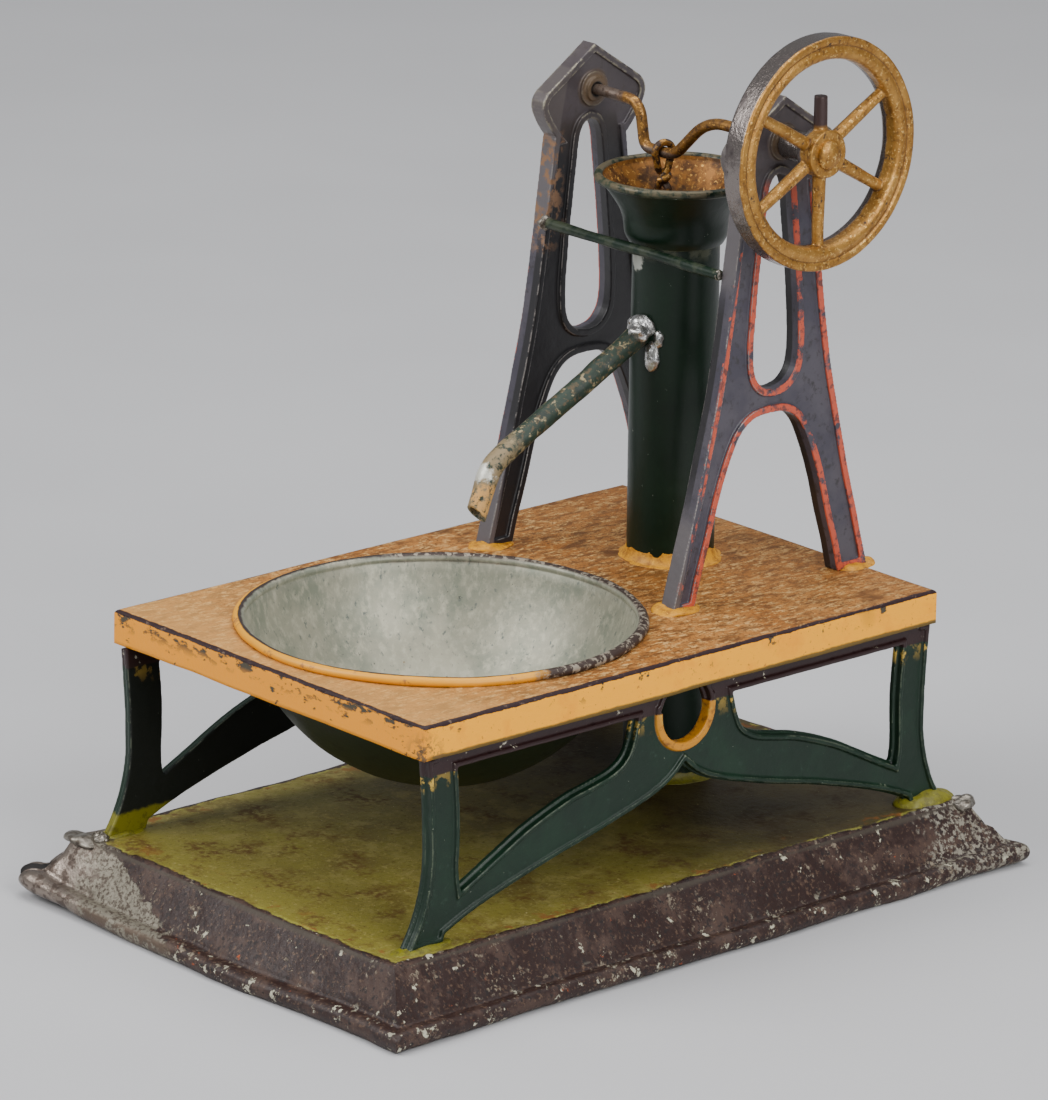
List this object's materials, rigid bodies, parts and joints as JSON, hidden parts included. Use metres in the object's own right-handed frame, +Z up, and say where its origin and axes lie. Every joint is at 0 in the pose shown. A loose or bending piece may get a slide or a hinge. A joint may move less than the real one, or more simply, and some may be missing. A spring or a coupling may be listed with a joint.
{
  "type": "toy water pump with basin",
  "caption": "Hand-cranked toy water pump on a tin tray: flywheel and crank on two cast side frames over an upright barrel with a spout and a round basin in a table.",
  "frame": {"origin": "centre of the tray's footprint, on the surface it stands on", "axes": "+Z up; +Y towards the pump end, -Y towards the basin end; +X towards the flywheel, along the shaft"},
  "size_m": [0.0962, 0.1388, 0.1443],
  "materials": {
    "tray_paint": "worn olive and maroon paint on tin",
    "wire_steel": "drawn wire",
    "solder": "bright solder",
    "leg_green": "dark green paint on a casting",
    "foot_solder": "yellow-green paint on solder",
    "table_paint": "ochre sides and a wood-grained brown top",
    "basin_tin": "grey inside, dark green outside",
    "pump_green": "dark green paint",
    "spout_green": "worn green paint",
    "ochre_solder": "ochre paint on solder",
    "frame_slate": "slate blue paint with red lining",
    "rod_green": "dark green paint",
    "crank_bronze": "bronze paint on wire",
    "wheel_bronze": "gold-bronze paint on a casting",
    "rod_bronze": "bronze paint on wire",
    "piston_brass": "turned brass",
    "leather": "oiled leather",
    "seat_tin": "tinned disc"
  },
  "bodies": {
    "stand": {"base_tray": "tray_paint", "base_edge_wire": "wire_steel", "corner_solder": "solder", "leg_frame_left": "leg_green", "leg_frame_right": "leg_green", "leg_foot_solder": "foot_solder", "table_top": "table_paint", "basin": "basin_tin", "pump_barrel": "pump_green", "barrel_foot_solder": "foot_solder", "barrel_collar_solder": "ochre_solder", "pump_funnel": "pump_green", "spout": "spout_green", "spout_solder": "solder", "a_frame_left": "frame_slate", "a_frame_right": "frame_slate", "a_frame_solder": "ochre_solder", "tie_rod": "rod_green", "tie_rod_solder": "solder", "foot_valve_seat": "seat_tin"},
    "crank": {"crankshaft": "crank_bronze", "flywheel": "wheel_bronze", "shaft_end_solder": "wheel_bronze"},
    "rod": {"connecting_rod": "rod_bronze"},
    "plunger": {"plunger_rod": "rod_bronze", "plunger_piston": "piston_brass", "plunger_packing": "leather", "piston_flap": "leather"},
    "foot_valve": {"foot_valve_disc": "leather"}
  },
  "joints": [
    {"name": "crank_spin", "type": "hinge", "parent": "stand", "child": "crank", "pos_m": [-0.0036, 0.0357, 0.1249], "axis": [1, 0, 0], "continuous": true},
    {"name": "rod_on_pin", "type": "hinge", "parent": "crank", "child": "rod", "pos_m": [-0.0079, 0.0357, 0.1174], "axis": [1, 0, 0], "continuous": true},
    {"name": "plunger_slide", "type": "slide", "parent": "stand", "child": "plunger", "axis": [0, 0, 1], "range_m": [0, 0.015]},
    {"name": "foot_valve_lift", "type": "slide", "parent": "stand", "child": "foot_valve", "axis": [0, 0, 1], "range_m": [0, 0.0015]}
  ],
  "couplings": [
    {"joint": "rod_on_pin", "follows": "crank_spin", "ratio": -1}
  ]
}
